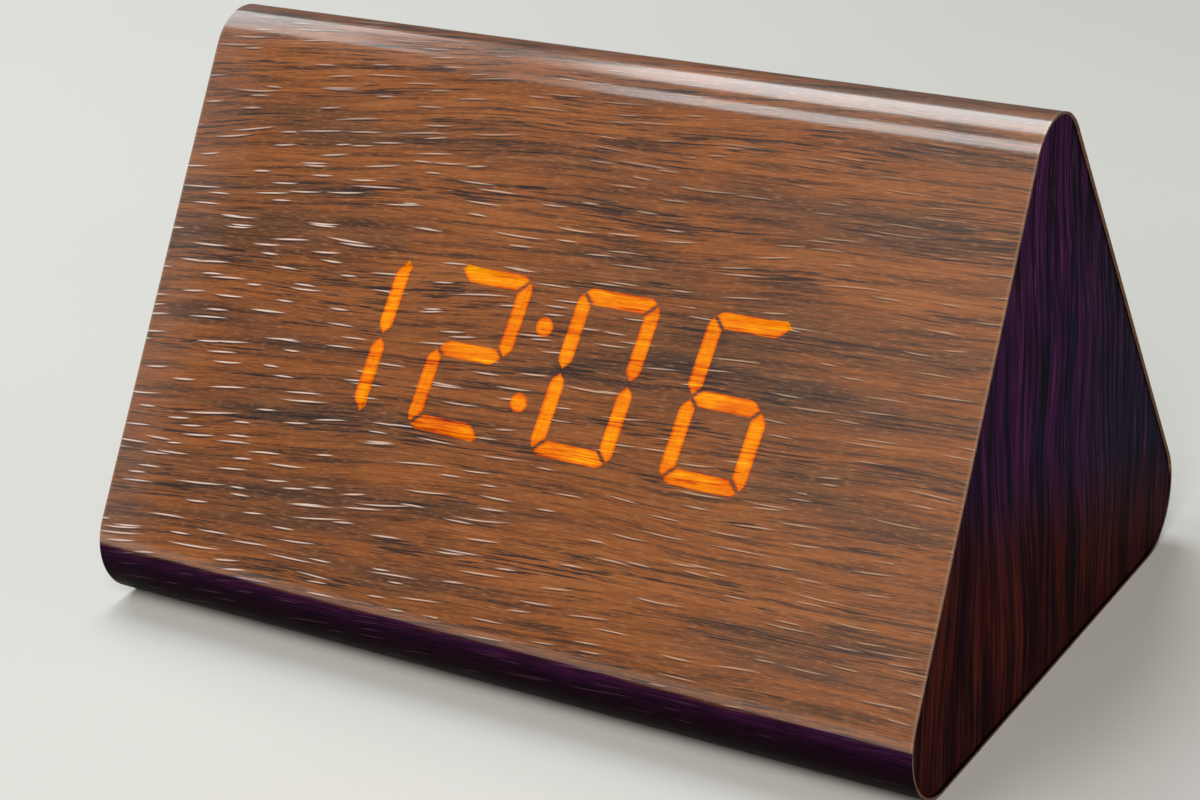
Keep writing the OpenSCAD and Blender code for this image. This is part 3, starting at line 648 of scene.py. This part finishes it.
def film_edge_material():
    """The cut edge, where the pale core of the film shows."""
    material, tree, shader = new_material("cut film edge")
    tone = noise(tree, place(tree), scale=1.4, detail=3)
    wire(tree, shader, Base_Color=ramp(tree, tone, [(0.35, (0.12, 0.068, 0.040)),
                                                    (0.65, (0.23, 0.140, 0.088))]))
    wire(tree, shader, Roughness=0.7, Specular_IOR_Level=0.1,
         Normal=bump(tree, tone, 0.02 * MM, 0.5))
    return material


print("film materials ready")

# %% Give each face of the film its material
TOP, CUT_EDGE, TURNED_EDGE = 0, 1, 2
STEEPEST_GLOSS = 0.14

film.data.materials.clear()
film.data.materials.append(film_material("walnut film", specular=0.3, coat=0.9))
film.data.materials.append(film_edge_material())
# The turned edge lies in the painted shade and gets a film without gloss.
film.data.materials.append(film_material("turned edge of the film in painted shade", specular=0.012, coat=0.0))
for face in film.data.polygons:
    face.material_index = TOP
    if abs(face.normal.x) > 0.9:
        face.material_index = CUT_EDGE
    elif face.normal.z < STEEPEST_GLOSS and face.center.z < 2 * BASE_RADIUS:
        face.material_index = TURNED_EDGE
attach(film, "case")
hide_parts("veneer_wrap")
print("film finished")

# %% [markdown]
# ## The lit numerals
# The film is thin enough for the light bars behind it to shine through. Real light through a
# film could be rendered, but it takes very many samples. The CAD light bars already have the
# right outlines, so the glow is made from a copy of their front faces, moved out to just above
# the film. Light spreads a little on its way through, so the free ends of the segments are
# rounded, and each patch is outset by SPREAD. An inset after that gives it a redder rim, where
# less light gets through, and the film's own grain darkens and brightens the glow.


# %% Shape the glowing areas
SPREAD = 0.15 * MM
END_ROUNDING = 0.62 * MM
CORNER_TURN = math.radians(160)
NEIGHBOUR = 1.0 * MM
RIM_WIDTH = 0.45 * MM
LIFT = 0.03 * MM
RIM_LEVEL, CORE_LEVEL = 0.45, 1.0


def free_corners(faces):
    """Corners that turn sharply and have no other segment close by."""
    found = []
    for face in faces:
        others = [v.co for f in faces if f != face for v in f.verts]
        for loop in face.loops:
            nearest = min((co - loop.vert.co).length for co in others)
            if loop.calc_angle() < CORNER_TURN and nearest > NEIGHBOUR:
                found.append(loop.vert)
    return found


def glow_piece():
    """Flat patches on the film, one for each lit segment."""
    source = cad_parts["lit_light_bars"]
    bm = bmesh.new()
    bm.from_mesh(source.data)
    bmesh.ops.remove_doubles(bm, verts=bm.verts, dist=0.001 * MM)
    bm.normal_update()
    hidden = [f for f in bm.faces if f.normal.dot(face_normal) < 0.9]
    bmesh.ops.delete(bm, geom=hidden, context="FACES")
    bmesh.ops.dissolve_limit(bm, angle_limit=0.01, verts=bm.verts, edges=bm.edges)
    bmesh.ops.translate(bm, vec=face_normal * (FILM + LIFT), verts=bm.verts)
    core = bm.verts.layers.float.new("core")
    bmesh.ops.bevel(bm, geom=free_corners(bm.faces[:]), offset=END_ROUNDING,
                    offset_type="OFFSET", segments=4, profile=0.5, affect="VERTICES", material=-1)
    bars = bm.faces[:]
    bmesh.ops.inset_region(bm, faces=bars, thickness=SPREAD, use_boundary=True,
                           use_even_offset=True, use_outset=True)
    for vert in {v for f in bars for v in f.verts}:
        vert[core] = RIM_LEVEL
    bmesh.ops.inset_individual(bm, faces=bars, thickness=RIM_WIDTH)
    for vert in {v for f in bars for v in f.verts}:
        vert[core] = CORE_LEVEL
    layout = bm.loops.layers.uv.new("sheet")
    for face in bm.faces:
        for loop in face.loops:
            climb = (loop.vert.co - low_tangent).dot(face_up)
            loop[layout].uv = (loop.vert.co.x, front_low_at + climb)
    return to_object(bm, "lit_numerals")


numerals = glow_piece()
print("lit patches:", len(numerals.data.polygons), "faces")


# %% Light through the film
def glow_material():
    """Orange light that shows the grain of the film in front of it."""
    material, tree, shader = new_material("light through film")
    parts = walnut(tree)
    depth = tree.nodes.new("ShaderNodeAttribute")
    depth.attribute_name = "core"
    cloud = noise(tree, place(tree), scale=0.16, detail=2)
    light = calc(tree, "MULTIPLY_ADD", depth.outputs["Fac"], 0.52, 0.05)
    for part, weight in ((cloud, 0.7), (parts["fibres"], 0.35), (parts["streaks"], 0.9),
                         (parts["specks"], 0.45)):
        light = calc(tree, "MULTIPLY_ADD", calc(tree, "SUBTRACT", part, 0.5), weight, light)
    light = calc(tree, "MULTIPLY_ADD", parts["cuts"], -0.30, light)
    # The painted pore highlights brighten the glow as well.
    light = calc(tree, "MULTIPLY_ADD", parts["pores_and_glints"], 0.24, light)
    glow = ramp(tree, light, [(0.0, (0.20, 0.014, 0.002)), (0.22, (0.58, 0.070, 0.002)),
                              (0.46, (0.80, 0.165, 0.002)), (0.72, (0.90, 0.30, 0.002)),
                              (1.0, (1.0, 0.50, 0.008))])
    wire(tree, shader, Base_Color=blend(tree, 0.85, glow, (0.05, 0.01, 0.0)), Roughness=0.4,
         Specular_IOR_Level=0.15, Emission_Color=glow, Emission_Strength=0.88)
    return material


numerals.data.materials.append(glow_material())
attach(numerals, "case")
print("numerals finished")

# %% [markdown]
# ## The end panels
# Each end has its own piece of film, set just inside the edge of the wrap. Its grain stands
# upright. Its colour is painted shade, much darker than the front: plum near the ridge, running
# into red-brown and black below, with a slanted border. The CAD shape is already right, so only
# a material is made. A dark margin along the sides stands for the shadow in the step between
# this film and the wrap.


# %% Finish of the ends
def end_material():
    """Upright grain, painted dark as shade."""
    material, tree, shader = new_material("end film in painted shade")
    _, where_y, z = split(tree, place(tree))
    drift = pack(tree, calc(tree, "DIVIDE", where_y, 22), calc(tree, "DIVIDE", z, 38), 4)
    sway = noise(tree, drift, detail=1)
    y = calc(tree, "MULTIPLY_ADD", calc(tree, "SUBTRACT", sway, 0.5), 9, where_y)

    def upright(width, length, detail, seed):
        spot = pack(tree, calc(tree, "DIVIDE", y, width), calc(tree, "DIVIDE", z, length), seed)
        return noise(tree, spot, detail=detail, roughness=0.6)

    broad, narrow, fine = upright(4.5, 60, 2, 1), upright(0.9, 26, 3, 5), upright(0.25, 9, 2, 9)
    # Painted shade: the whole end is coloured as the walnut film looks in shade, plum above,
    # red-brown to black below, darker toward the back.
    high = ramp(tree, broad, [(0.34, (0.018, 0.010, 0.042)), (0.46, (0.046, 0.010, 0.056)),
                              (0.68, (0.080, 0.016, 0.080))])
    low = ramp(tree, broad, [(0.35, (0.018, 0.003, 0.004)), (0.5, (0.058, 0.009, 0.008)),
                             (0.68, (0.090, 0.016, 0.010))])
    behind_middle = fade(tree, where_y, 2, 22, 0, 0.75)
    high = blend(tree, behind_middle, high, (0.014, 0.016, 0.036))
    height = calc(tree, "MULTIPLY_ADD", where_y, 0.34, calc(tree, "MULTIPLY_ADD", broad, 12, z))
    share = fade(tree, height, 22, 38)
    colour = blend(tree, share, low, high)
    colour = blend(tree, fade(tree, narrow, 0.54, 0.38, 0, 0.9), colour, (0.004, 0.002, 0.005))
    colour = blend(tree, fade(tree, narrow, 0.56, 0.70, 0, 0.6), colour,
                   blend(tree, share, (0.140, 0.026, 0.012), (0.150, 0.034, 0.110)))
    colour = blend(tree, fade(tree, fine, 0.54, 0.36, 0, 0.65), colour, (0.004, 0.002, 0.004))
    pale = calc(tree, "MULTIPLY", fade(tree, fine, 0.60, 0.70), fade(tree, height, 40, 62))
    colour = blend(tree, calc(tree, "MULTIPLY", pale, 0.5), colour, (0.240, 0.080, 0.150))
    toward_face = calc(tree, "MULTIPLY_ADD", calc(tree, "ABSOLUTE", where_y), -face_normal.y,
                       -face_normal.dot(low_tangent) / MM)
    inside = calc(tree, "SUBTRACT", 0, calc(tree, "MULTIPLY_ADD", z, face_normal.z, toward_face))
    margin = fade(tree, calc(tree, "MINIMUM", inside, z), 0.5, 0.95)
    colour = blend(tree, margin, (0.002, 0.001, 0.001), colour)
    wire(tree, shader, Base_Color=colour, Roughness=fade(tree, narrow, 0.3, 0.7, 0.42, 0.54),
         Specular_IOR_Level=0.005)
    wire(tree, shader, Normal=bump(tree, calc(tree, "ADD", narrow, fine), 0.02 * MM, 0.6))
    return material


def finish(material, *nodes):
    """Gives CAD nodes a material in place of their own."""
    for name in nodes:
        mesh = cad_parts[name].data
        mesh.materials.clear()
        mesh.materials.append(material)


finish(end_material(), "left_end_veneer", "right_end_veneer")
print("ends finished")

# %% [markdown]
# ## Finishes for the pieces behind and inside
# The other pieces keep their CAD shape. Each needs the finish of its own stuff: pressed wood
# fibre, moulded plastic, rolled or plated metal. Each could have a node tree of its own, but
# most share one recipe, a cloudy tone over a fine grain that also drives roughness and relief.
# So one helper makes them all, and what differs is written as a few plain values.


# %% One recipe for many finishes
def plain_finish(name, dark, light, grain=0.5, stretch=(1, 1, 1), rough=(0.35, 0.50), depth=0.01,
                 metallic=0.0, specular=0.5, cloud=9.0):
    """A tone that wanders between two colours, with a fine grain. Sizes are in millimetres."""
    material, tree, shader = new_material(name)
    wide = noise(tree, place(tree), scale=1 / cloud, detail=2)
    fine = noise(tree, place(tree, scale=stretch), scale=1 / grain, detail=3, roughness=0.6)
    tone = calc(tree, "MULTIPLY_ADD", fine, 0.6, calc(tree, "MULTIPLY", wide, 0.4))
    wire(tree, shader, Base_Color=ramp(tree, tone, [(0.34, dark), (0.66, light)]),
         Roughness=fade(tree, tone, 0.3, 0.7, *rough), Metallic=metallic,
         Specular_IOR_Level=specular, Normal=bump(tree, fine, depth * MM, 0.8))
    return material


print("recipe ready")

# %% Boards, mouldings and chips
fibreboard = plain_finish("pressed wood fibre", (0.16, 0.095, 0.048), (0.38, 0.26, 0.155),
                          grain=0.35, stretch=(0.35, 1, 1), rough=(0.75, 0.92), depth=0.05,
                          specular=0.2)
finish(fibreboard, "front_board", "rear_board", "base_board", "left_end_panel", "right_end_panel")
white = plain_finish("white moulding", (0.72, 0.72, 0.70), (0.84, 0.84, 0.82), grain=0.25,
                     rough=(0.36, 0.48), depth=0.004)
finish(white, "display_housing")
ivory = plain_finish("ivory moulding", (0.66, 0.62, 0.50), (0.78, 0.74, 0.62), grain=0.3,
                     rough=(0.34, 0.46), depth=0.005)
finish(ivory, "display_socket", "main_socket")
black_case = plain_finish("black epoxy", (0.008, 0.008, 0.009), (0.022, 0.022, 0.024), grain=0.12,
                          rough=(0.42, 0.62), depth=0.006, cloud=2.0)
finish(black_case, "driver_chip", "clock_chip", "cell_holder", "sounder", "usb_tongue")
print("mouldings and chips:", len(bpy.data.materials), "materials so far")

# %% Metals, small components, leads and switches
can = plain_finish("bare can", (0.46, 0.46, 0.47), (0.66, 0.66, 0.66), grain=0.2,
                   stretch=(0.1, 1, 1), rough=(0.22, 0.38), depth=0.003, metallic=1.0, cloud=3.0)
finish(can, "crystal", "reservoir_capacitor", "microphone")
steel = plain_finish("zinc-plated steel", (0.40, 0.41, 0.43), (0.62, 0.62, 0.63), grain=0.3,
                     rough=(0.26, 0.44), depth=0.004, metallic=1.0, cloud=1.5)
finish(steel, "display_screws", "board_screws", "panel_screws")
coin = plain_finish("coin cell steel", (0.52, 0.52, 0.52), (0.70, 0.70, 0.69), grain=0.15,
                    stretch=(0.15, 1, 1), rough=(0.20, 0.34), depth=0.002, metallic=1.0)
finish(coin, "backup_cell")
plated = plain_finish("nickel plate", (0.50, 0.49, 0.46), (0.72, 0.70, 0.66), grain=0.25,
                      rough=(0.18, 0.34), depth=0.003, metallic=1.0, cloud=2.5)
finish(plated, "usb_shell", "battery_springs", "battery_contacts")
ceramic = plain_finish("ceramic parts", (0.10, 0.085, 0.07), (0.36, 0.29, 0.20), grain=0.9,
                       rough=(0.35, 0.5), depth=0.01, cloud=1.6)
finish(ceramic, "small_components", "thermistor")
led = plain_finish("amber chip", (0.62, 0.40, 0.06), (0.80, 0.58, 0.14), grain=0.3,
                   rough=(0.22, 0.34), depth=0.004, cloud=2.0)
finish(led, "segment_leds")
for colour, pole, dark, light in (
        ("red", "positive", (0.34, 0.012, 0.010), (0.46, 0.022, 0.016)),
        ("black", "negative", (0.010, 0.010, 0.011), (0.022, 0.022, 0.023))):
    insulation = plain_finish(colour + " insulation", dark, light, grain=0.4, rough=(0.34, 0.46),
                              depth=0.004, cloud=3.0)
    finish(insulation, "battery_lead_" + pole)
switch = plain_finish("switch moulding", (0.012, 0.012, 0.013), (0.030, 0.030, 0.031), grain=0.15,
                      rough=(0.40, 0.56), depth=0.004, cloud=1.5)
finish(switch, "set_switch", "up_switch", "down_switch")
finish(ivory, "set_plunger", "up_plunger", "down_plunger")
print("metals, components, leads and switches:", len(bpy.data.materials), "materials so far")

# %% [markdown]
# ## Circuit boards, ribbon and light bars
# Three things show a pattern and not only a grain. A circuit board has copper tracks under
# green solder mask, with tinned dots; tracks modelled as shapes would be thousands of faces,
# so they are drawn as wandering lanes with a little relief. A ribbon cable is a row of round
# wires under one skin, which a sine across its width draws, in relief and as painted shade in
# the grooves between the wires. A light bar is cloudy plastic, and the lit ones shine.


# %% Circuit board
TRACK_PITCH = 1.6


def board_material():
    """Green solder mask with copper tracks that run under it, and tinned dots."""
    material, tree, shader = new_material("circuit board")
    x, y, z = split(tree, place(tree))
    climb = calc(tree, "ADD", y, z)
    bend = pack(tree, calc(tree, "DIVIDE", x, 9), calc(tree, "DIVIDE", climb, 9))
    wander = noise(tree, bend, detail=0)
    lane = calc(tree, "DIVIDE", calc(tree, "MULTIPLY_ADD", wander, 6, climb), TRACK_PITCH)
    lane = calc(tree, "FRACT", lane)
    track = fade(tree, calc(tree, "ABSOLUTE", calc(tree, "SUBTRACT", lane, 0.5)), 0.20, 0.15)
    track = calc(tree, "MULTIPLY", track, fade(tree, wander, 0.42, 0.44))
    dots = tree.nodes.new("ShaderNodeTexVoronoi")
    wire(tree, dots, Vector=pack(tree, x, climb), Scale=0.22, Randomness=0.7)
    rings = fade(tree, dots.outputs["Distance"], 0.085, 0.07)
    grain = noise(tree, place(tree), scale=3, detail=2)
    bare = ramp(tree, grain, [(0.35, (0.006, 0.060, 0.026)), (0.65, (0.010, 0.082, 0.036))])
    mask = blend(tree, track, bare, (0.020, 0.150, 0.060))
    wire(tree, shader, Base_Color=blend(tree, rings, mask, (0.60, 0.60, 0.58)), Metallic=rings,
         Roughness=fade(tree, grain, 0.3, 0.7, 0.24, 0.36), Coat_Weight=0.3, Coat_Roughness=0.15,
         Normal=bump(tree, calc(tree, "MAXIMUM", track, rings), 0.03 * MM, 0.8))
    return material


finish(board_material(), "display_board", "main_board")
print("boards finished")


# %% Ribbon cable
WIRE_PITCH = 1.27


def ribbon_material():
    """Flat grey cable: parallel round wires under one skin, with painted shade in the grooves
    between them, and a red one at the edge.
    """
    material, tree, shader = new_material("grey ribbon")
    first_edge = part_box("ribbon_cable")[0][0] / MM
    x = split(tree, place(tree))[0]
    cell = calc(tree, "DIVIDE", calc(tree, "SUBTRACT", x, first_edge), WIRE_PITCH)
    wire_crown_and_groove_shade = calc(tree, "SINE", calc(tree, "MULTIPLY", calc(tree, "FRACT", cell), math.pi))
    edge_wire = calc(tree, "LESS_THAN", cell, 1.0)
    grain = noise(tree, place(tree), scale=1.4, detail=2)
    # Painted shade: the grey darkens in the grooves between the wires and lightens on their crowns.
    grey = ramp(tree, calc(tree, "MULTIPLY", wire_crown_and_groove_shade, grain), [(0.0, (0.12, 0.12, 0.13)),
                                                                 (0.5, (0.42, 0.42, 0.43))])
    wire(tree, shader, Base_Color=blend(tree, edge_wire, grey, (0.45, 0.03, 0.02)),
         Roughness=fade(tree, grain, 0.3, 0.7, 0.42, 0.55),
         Normal=bump(tree, wire_crown_and_groove_shade, 0.35 * MM, 0.9))
    return material


finish(ribbon_material(), "ribbon_cable")
print("ribbon finished")


# %% Light bars
def bar_material(name, dark, light, strength):
    """Cloudy plastic that the light comes through."""
    material, tree, shader = new_material(name)
    cloud = noise(tree, place(tree), scale=0.5, detail=3)
    glow = ramp(tree, cloud, [(0.3, dark), (0.7, light)])
    wire(tree, shader, Base_Color=glow, Roughness=fade(tree, cloud, 0.3, 0.7, 0.30, 0.42),
         Emission_Color=glow, Emission_Strength=strength,
         Normal=bump(tree, cloud, 0.01 * MM, 0.5))
    return material


lit = bar_material("lit light bar", (1.0, 0.22, 0.01), (1.0, 0.36, 0.02), strength=1.0)
unlit = bar_material("unlit light bar", (0.50, 0.48, 0.44), (0.62, 0.60, 0.56), strength=0.0)
finish(lit, "lit_light_bars")
finish(unlit, "unlit_light_bars")
print("light bars finished")

# %% [markdown]
# ## The back
# The rear panel, the battery door and the three buttons are injection mouldings. A moulding's
# edges are never sharp. A bevel node in the material would only fake that, so each piece is a
# copy of its CAD shape whose edges are rounded by a small Bevel. The loose CAD triangles are
# merged first, and flat areas are made whole, so that the bevel follows the real edges only.
# Weighted normals then keep the flat faces looking flat.


# %% Round the edges of the mouldings
FLAT_ANGLE = math.radians(0.5)
EDGE_ANGLE = math.radians(40)


def softened(node, body, radius, material):
    """A copy of a CAD piece with rounded edges, which stands in for it."""
    bm = bmesh.new()
    bm.from_mesh(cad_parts[node].data)
    bmesh.ops.remove_doubles(bm, verts=bm.verts, dist=0.001 * MM)
    bmesh.ops.dissolve_limit(bm, angle_limit=FLAT_ANGLE, verts=bm.verts, edges=bm.edges)
    made = to_object(bm, node + "_moulding", material)
    rounding = made.modifiers.new("edges", "BEVEL")
    rounding.width = radius
    rounding.segments = 3
    rounding.limit_method = "ANGLE"
    rounding.angle_limit = EDGE_ANGLE
    made.data.shade_smooth()
    shading = made.modifiers.new("shading", "WEIGHTED_NORMAL")
    shading.mode = "FACE_AREA"
    shading.weight = 100
    apply_all(made)
    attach(made, body)
    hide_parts(node)
    print("%s: %d faces" % (made.name, len(made.data.polygons)))


def skin(name, tone, grain, depth):
    """Dark plastic with the fine even pitting that a spark-eroded mould leaves."""
    dark, light = tuple(0.72 * t for t in tone), tuple(1.25 * t for t in tone)
    return plain_finish(name, dark, light, grain=grain, rough=(0.46, 0.62), depth=depth,
                        specular=0.45, cloud=14.0)


PANEL_ROUNDING = 0.22 * MM
BUTTON_ROUNDING = 0.18 * MM
panel_skin = skin("textured black panel", (0.020, 0.019, 0.019), 0.28, 0.030)
softened("rear_panel", "case", PANEL_ROUNDING, panel_skin)
softened("battery_door", "battery_door", PANEL_ROUNDING, panel_skin)
button_skin = skin("satin black button", (0.030, 0.029, 0.029), 0.20, 0.008)
for button in ("set", "up", "down"):
    softened(button + "_button", button + "_button", BUTTON_ROUNDING, button_skin)

# %% [markdown]
# ## The cells
# Four cells lie side by side and point left and right in turn, as cells in series do. Each has
# a shrunk plastic jacket, deep blue with a copper band toward its raised end, and bare metal
# at both ends. The colours could be split by faces, but the CAD mesh of a cell has none at the
# band's edge, so the material places them by the share of the cell's length. The raised end
# is the end whose outermost points span the smaller height.


# %% Jackets of the four cells
END_REACH = 0.3 * MM


def raised_end(node):
    """Tells which way a cell points: 1 when its raised end is the one with the larger x."""
    ends = [corner[0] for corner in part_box(node)]
    heights = []
    for end in ends:
        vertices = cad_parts[node].data.vertices
        painted_end_highlight = [v.co.z for v in vertices if abs(v.co.x - end) < END_REACH]
        heights.append(max(painted_end_highlight) - min(painted_end_highlight))
    return 1 if heights[1] < heights[0] else -1


def jacket_material(name, node, way):
    """A shrunk plastic sleeve, deep blue with a copper band near the raised end, no lettering."""
    material, tree, shader = new_material(name)
    low, high = (corner[0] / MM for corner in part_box(node))
    x = split(tree, place(tree))[0]
    begin, length = (low, high - low) if way > 0 else (high, low - high)
    share = calc(tree, "DIVIDE", calc(tree, "SUBTRACT", x, begin), length)
    grain = noise(tree, place(tree, scale=(0.2, 1, 1)), scale=1.2, detail=2)
    sleeve = ramp(tree, share, [(0.0, (0.60, 0.60, 0.60)), (0.035, (0.012, 0.016, 0.050)),
                                (0.70, (0.014, 0.018, 0.058)), (0.72, (0.52, 0.20, 0.07)),
                                (0.94, (0.58, 0.23, 0.08)), (0.965, (0.62, 0.62, 0.62))])
    shine = fade(tree, share, 0.70, 0.72, 0.1, 0.85)
    wire(tree, shader, Base_Color=blend(tree, calc(tree, "MULTIPLY", grain, 0.08), sleeve,
                                        (0.30, 0.30, 0.34)),
         Metallic=shine, Roughness=fade(tree, grain, 0.3, 0.7, 0.26, 0.38),
         Coat_Weight=0.4, Coat_Roughness=0.12, Normal=bump(tree, grain, 0.01 * MM, 0.5))
    return material


cells = ["battery_%d" % number for number in (1, 2, 3, 4)]
ways = {cell: raised_end(cell) for cell in cells}
for way, side in ((1, "right"), (-1, "left")):
    turned = [cell for cell in cells if ways[cell] == way]
    if turned:
        finish(jacket_material("cell jacket, raised end to the " + side, turned[0], way), *turned)
print("cells point", ways)

# %% [markdown]
# ## Nodes without a finish
# A node without a finish would show as flat grey, so the last thing is to look for one.

# %% Look for nodes without a finish
unfinished = [name for name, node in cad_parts.items()
              if not any(m and m.use_nodes and m.users for m in node.data.materials)]
print("nodes without a finish:", unfinished)
